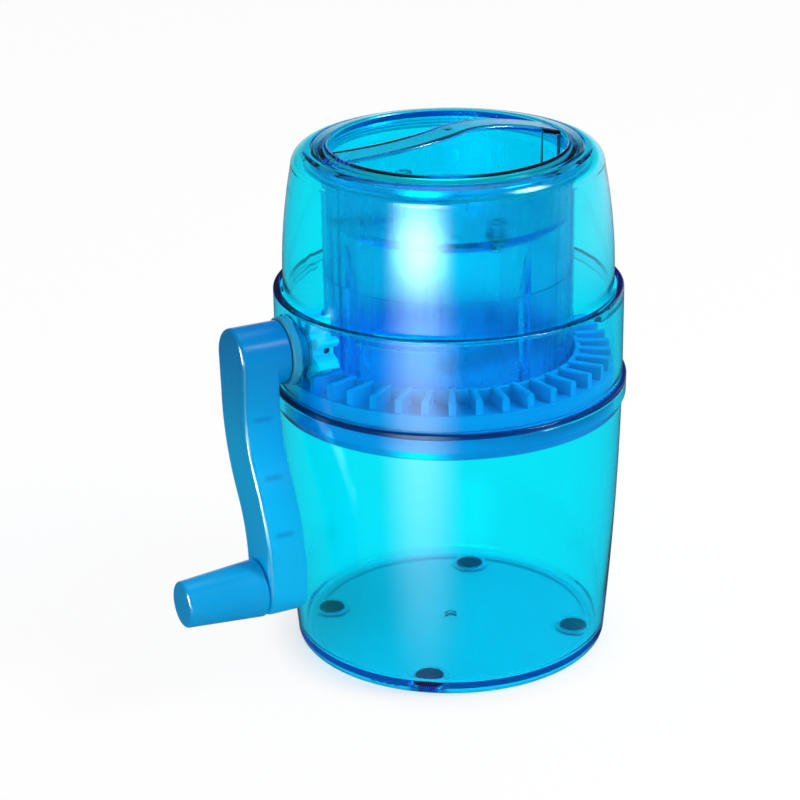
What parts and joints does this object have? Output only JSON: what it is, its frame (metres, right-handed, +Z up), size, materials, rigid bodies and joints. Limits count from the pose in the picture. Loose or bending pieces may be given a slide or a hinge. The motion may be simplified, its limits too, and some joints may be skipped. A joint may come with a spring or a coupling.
{
  "type": "hand-cranked ice shaver",
  "caption": "Clear hand-cranked ice shaver: side crank turns a pinion and crown gear with a blade under the ice hopper; shavings drop in the cup below.",
  "frame": {"origin": "on the body's axis, in the plane of the table under the foot ring", "axes": "+Z up along the body's axis, the crank on the -X side with its shaft along X, its arm hanging down and swept towards -Y"},
  "size_m": [0.1779, 0.1272, 0.191],
  "materials": {
    "cup_plastic": "clear, glossy, tinted bright blue",
    "collar_plastic": "clear, glossy, tinted bright blue",
    "dome_plastic": "clear, glossy, tinted bright blue",
    "hopper_plastic": "clear, glossy, tinted bright blue",
    "lid_plastic": "clear, glossy, tinted bright blue",
    "press_plastic": "clear, tinted bright blue",
    "gear_plastic": "satin blue moulding",
    "ring_plastic": "satin blue moulding",
    "crank_plastic": "satin blue moulding",
    "pinion_plastic": "satin pale cyan moulding",
    "bush_plastic": "satin pale moulding",
    "steel": "ground stainless steel",
    "rubber": "matt dark rubber"
  },
  "bodies": {
    "base": {"cup": "cup_plastic", "rubber_feet": "rubber"},
    "housing": {"collar": "collar_plastic", "retainer_ring": "ring_plastic", "crank_bush": "bush_plastic"},
    "dome": {"dome": "dome_plastic", "hopper": "hopper_plastic"},
    "lid": {"lid": "lid_plastic", "ice_press": "press_plastic", "press_screws": "steel"},
    "disc": {"gear_disc": "gear_plastic", "blade": "steel", "blade_screws": "steel"},
    "crank": {"crank_arm": "crank_plastic", "crank_shaft": "steel", "pinion": "pinion_plastic", "pinion_pin": "steel", "thrust_washer": "bush_plastic", "knob_pin": "steel"},
    "knob": {"knob": "crank_plastic", "knob_cap": "crank_plastic"}
  },
  "joints": [
    {"name": "housing_lift", "type": "slide", "parent": "base", "child": "housing", "axis": [0, 0, 1], "range_m": [0, 0.03]},
    {"name": "dome_turn", "type": "hinge", "parent": "housing", "child": "dome", "pos_m": [0, 0, 0.134], "axis": [0, 0, 1], "range_deg": [0, 20]},
    {"name": "lid_lift", "type": "slide", "parent": "dome", "child": "lid", "axis": [0, 0, 1], "range_m": [0, 0.06]},
    {"name": "disc_spin", "type": "hinge", "parent": "housing", "child": "disc", "pos_m": [0, 0, 0.105], "axis": [0, 0, 1], "continuous": true},
    {"name": "crank_turn", "type": "hinge", "parent": "housing", "child": "crank", "pos_m": [-0.06, 0, 0.1212], "axis": [-1, 0, 0], "continuous": true},
    {"name": "knob_spin", "type": "hinge", "parent": "crank", "child": "knob", "pos_m": [-0.1, -0.0182, 0.043], "axis": [-1, 0, 0], "continuous": true}
  ],
  "couplings": [
    {"joint": "crank_turn", "follows": "disc_spin", "ratio": 5}
  ]
}
